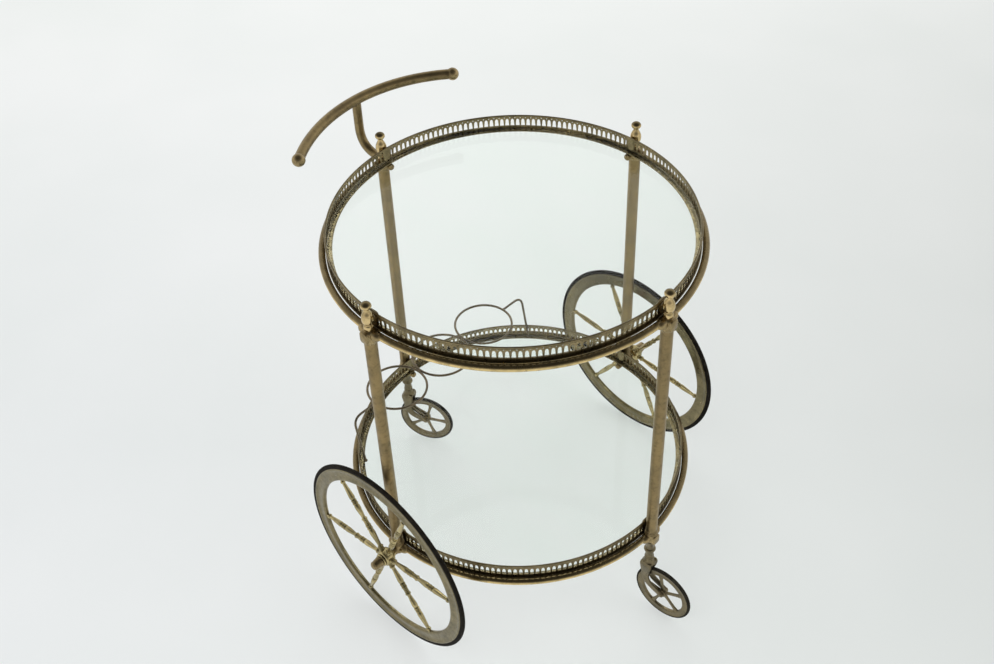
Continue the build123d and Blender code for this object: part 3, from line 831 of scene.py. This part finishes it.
# A fork arm from its root to its eye: (reach, height, half width, half thickness)
arm_line = smooth([
    (0.0, 117.0, 10.0, 2.6), (0.0, 112.0, 11.2, 3.2), (-0.2, 105.0, 10.6, 3.0),
    (-0.6, 97.0, 9.0, 2.6), (-0.7, 89.0, 7.6, 2.2), (-0.2, 81.0, 6.8, 2.0), (1.5, 74.0, 6.4, 2.0),
    (5.2, 68.2, 6.2, 2.0), (12.0, 63.6, 6.0, 2.0), (22.0, 59.0, 5.6, 2.0), (33.0, 54.0, 4.8, 2.0),
], 3)
arm_section = bar(ARM_WIDTH, ARM_THICKNESS, 1.3)
arm_scales = [(wide / ARM_WIDTH, thick / ARM_THICKNESS) for _, _, wide, thick in arm_line]
eye = lathe(mirrored([(0, -2.1), (4.2, -2.1), (4.7, -1.6)]), 28)
arms = []
for way in (-1, 1):
    path = [(reach, way * (ARM_GAP + thick), height) for reach, height, _, thick in arm_line]
    eye_centre = (CASTER_TRAIL, way * (ARM_GAP + ARM_THICKNESS), CASTER_RADIUS)
    arms.append(swept(path, arm_section, (1, 0, 0), arm_scales))
    arms.append(placed(eye, eye_centre, along=(0, 1, 0), across=(1, 0, 0)))
fork = joined(crown, *arms)

caster_rim = lathe(mirrored([
    (39.5, -1.6), (39.9, -2.4), (40.9, -2.95), (42.6, -3.0), (45, -2.6), (48.0, -2.7), (49.4, -3.0),
    (50.6, -3.0),
]), 120, loop=True)
caster_band = lathe(mirrored([
    (50.3, -3.05), (51.0, -3.2), (52.4, -3.15), (53.3, -2.6), (53.85, -1.5), (54.0, -0.6),
]), 120, loop=True)
caster_hub = lathe(mirrored([
    (2.6, -4.7), (6.2, -4.7), (7.0, -4.1), (7.2, -2.6), (7.6, -2.0),
]), 32, loop=True)
# The spokes widen towards the hub and towards the rim, over the first and the last 0.3 of their run
shares = [k / 8 for k in range(9)]
flares = [(1 + 0.9 * max(0, t - 0.7) / 0.3 + 0.4 * max(0, 0.3 - t) / 0.3, 1) for t in shares]
caster_spokes = []
for index in range(CASTER_SPOKES):
    turn = tau * index / CASTER_SPOKES
    way = Vector((cos(turn), sin(turn), 0))
    path = [way * (CASTER_SPOKE_FOOT + CASTER_SPOKE_RUN * share) for share in shares]
    caster_spokes.append(swept(path, bar(2.6, 2.0, 1.4), way.cross(UP), flares))
caster_wheel = joined(caster_rim, caster_hub, *caster_spokes)
caster_pin = lathe(mirrored([
    (0, -10.5), (2.2, -10.4), (3.4, -9.9), (3.75, -9.3), (3.75, -9.0), (2.5, -9),
]), 28)
for name, swivel in CASTER_TURNS.items():
    stem = outward(name) * POST_CIRCLE
    trail = Vector((cos(swivel), sin(swivel), 0))
    axle = stem + trail * CASTER_TRAIL + UP * CASTER_RADIUS
    axis = trail.cross(UP)
    rolled = trail * cos(CASTER_ROLLS[name]) + UP * sin(CASTER_ROLLS[name])
    wheel_body, fork_body = f"caster_{name}", f"fork_{name}"
    piece(f"socket_turning_{name}", placed(socket, stem), caster_brass, "frame",
          [f"caster_socket_{name}"])
    piece(f"fork_casting_{name}", placed(fork, stem, across=trail), caster_brass, fork_body,
          [f"caster_fork_{name}"])
    piece(f"caster_casting_{name}", placed(caster_wheel, axle, axis, rolled), caster_brass,
          wheel_body, [f"caster_wheel_{name}"])
    piece(f"caster_band_{name}", placed(caster_band, axle, axis, rolled), caster_rubber,
          wheel_body, [f"caster_tyre_{name}"])
    piece(f"caster_rivet_{name}", placed(caster_pin, axle, axis, trail), caster_brass, fork_body,
          [f"caster_axle_{name}"])


# Push handle: a bowed grip with knobs on a bent stem that widens a little under the grip

grip_middle = Vector((-POST_CIRCLE - HANDLE_REACH, 0, HANDLE_HEIGHT))
bow_out = Vector((-cos(GRIP_SLOPE), 0, sin(GRIP_SLOPE)))
bow_centre = grip_middle - bow_out * GRIP_BOW
half_turn = asin(GRIP_HALF_SPAN / GRIP_BOW)
bow = [
    bow_centre + (bow_out * cos(turn) + Vector((0, 1, 0)) * sin(turn)) * GRIP_BOW
    for turn in [half_turn * (k / 30 - 1) for k in range(61)]
]
piece("grip_bow", swept(bow, circle(GRIP_RADIUS, 32), (0, 0, 1)), grip_brass, "frame",
      ["handle_grip"])
knob = lathe([(0, -KNOB_RADIUS), *ball(KNOB_RADIUS, 1.5, 0, 24)[1:]], 36)
piece("grip_knobs", joined(placed(knob, bow[0]), placed(knob, bow[-1])), cast_brass, "frame",
      ["grip_balls"])

bend = rounded([
    (-POST_CIRCLE - STEM_START, 0, STEM_HEIGHT), (-POST_CIRCLE - HANDLE_REACH, 0, STEM_HEIGHT),
    (-POST_CIRCLE - HANDLE_REACH, 0, HANDLE_HEIGHT),
], cut=40, steps=16)
stem_path = [*bend[:-1], *[bend[-2].lerp(bend[-1], k / 8) for k in range(1, 8)], bend[-1]]
last = len(stem_path) - 1
stem_scales = [(1 + 0.25 * max(0, k / last - 0.86),) * 2 for k in range(last + 1)]
piece("grip_stem", swept(stem_path, circle(STEM_RADIUS, 28), (0, 1, 0), stem_scales), grip_brass,
      "frame", ["handle_stem"])


# Stage, camera and light


def studio_paper():
    """White paper with a painted falloff of light over the floor, glowing a little where it is
    seen.
    """
    paper = Finish("studio_paper", Roughness=0.8, Specular_IOR_Level=0.15)
    mottle = paper.ramp(paper.noise(900.0, detail=3.0), *FLOOR_MOTTLE)
    drifts = []
    for way, start, end in FLOOR_DRIFTS:
        run = paper.node("ShaderNodeVectorMath", operation="DOT_PRODUCT")
        run.inputs[1].default_value = way
        paper.link(paper.millimetres.outputs[0], run.inputs[0])
        span = paper.tree.nodes.new("ShaderNodeMapRange")
        span.inputs["From Min"].default_value = start
        span.inputs["From Max"].default_value = end
        paper.link(run.outputs["Value"], span.inputs["Value"])
        drifts.append(span.outputs["Result"])
    across, depth = drifts
    # Painted falloff of light: darker across towards one side, paler into the depth
    tone = paper.mix(depth, paper.ramp(across, *FLOOR_FALLOFF_TONES), FLOOR_DEPTH_LIGHT)
    tone = paper.mix(1.0, tone, mottle, blend="MULTIPLY")
    paper.link(tone, paper.shader.inputs["Base Color"])
    path = paper.tree.nodes.new("ShaderNodeLightPath")
    seen = path.outputs["Is Camera Ray"]
    for kind in ("Is Glossy Ray", "Is Transmission Ray"):
        either = paper.node("ShaderNodeMath", operation="MAXIMUM")
        paper.link(seen, either.inputs[0])
        paper.link(path.outputs[kind], either.inputs[1])
        seen = either.outputs[0]
    glow_share = paper.node("ShaderNodeMath", operation="MULTIPLY")
    glow_share.inputs[1].default_value = FLOOR_GLOW
    paper.link(seen, glow_share.inputs[0])
    glow = paper.node("ShaderNodeEmission")
    paper.link(tone, glow.inputs["Color"])
    surface = paper.node("ShaderNodeMixShader")
    paper.link(glow_share.outputs[0], surface.inputs["Fac"])
    paper.link(paper.shader.outputs[0], surface.inputs[1])
    paper.link(glow.outputs[0], surface.inputs[2])
    paper.link(surface.outputs[0], paper.tree.nodes["Material Output"].inputs["Surface"])
    return paper.material


floor_mesh = bpy.data.meshes.new("studio_floor")
floor_mesh.from_pydata([
    (-FLOOR_HALF, -FLOOR_HALF, 0), (FLOOR_HALF, -FLOOR_HALF, 0),
    (FLOOR_HALF, FLOOR_HALF, 0), (-FLOOR_HALF, FLOOR_HALF, 0),
], [], [(0, 1, 2, 3)])
studio_floor = bpy.data.objects.new("studio_floor", floor_mesh)
bpy.context.scene.collection.objects.link(studio_floor)
floor_mesh.materials.append(studio_paper())

back = Vector((
    sin(CAMERA_AZIMUTH) * cos(CAMERA_ELEVATION), -cos(CAMERA_AZIMUTH) * cos(CAMERA_ELEVATION),
    sin(CAMERA_ELEVATION),
))
level_right = (-back).cross(UP).normalized()
level_up = level_right.cross(-back)
right = level_right * cos(CAMERA_ROLL) + level_up * sin(CAMERA_ROLL)
up = level_up * cos(CAMERA_ROLL) - level_right * sin(CAMERA_ROLL)
camera_data = bpy.data.cameras.new("camera")
camera_data.lens = CAMERA_LENS
camera_data.shift_y = CAMERA_SHIFT
camera = bpy.data.objects.new("camera", camera_data)
turned = Matrix((right, up, back)).transposed().to_4x4()
camera.matrix_world = Matrix.Translation(CAMERA_PLACE) @ turned
bpy.context.scene.collection.objects.link(camera)
bpy.context.scene.camera = camera

# Square soft lights that metal and glass don't mirror
for name, (place, power) in SOFTBOXES.items():
    softbox = bpy.data.lights.new(name, "AREA")
    softbox.shape = "SQUARE"
    softbox.size = SOFTBOX_SIZE
    softbox.energy = power
    lamp = bpy.data.objects.new(name, softbox)
    lamp.location = place
    aim = Vector(SOFTBOX_TARGET) - Vector(place)
    lamp.rotation_euler = aim.to_track_quat("-Z", "Y").to_euler()
    lamp.visible_glossy = False
    bpy.context.scene.collection.objects.link(lamp)

world = bpy.data.worlds.new("studio")
world.use_nodes = True
bpy.context.scene.world = world
sky = world.node_tree
direction = sky.nodes.new("ShaderNodeTexCoord")
lean = sky.nodes.new("ShaderNodeVectorMath")
lean.operation = "DOT_PRODUCT"
lean.inputs[1].default_value = BACKDROP_LEAN
shade = sky.nodes.new("ShaderNodeValToRGB")
set_stops(shade, [(position, (level, level * SKY_GREEN, level)) for position, level in SKY])
sky.links.new(direction.outputs["Generated"], lean.inputs[0])
sky.links.new(lean.outputs["Value"], shade.inputs["Fac"])
sky.links.new(shade.outputs["Color"], sky.nodes["Background"].inputs["Color"])
bpy.context.scene.view_settings.view_transform = "Standard"
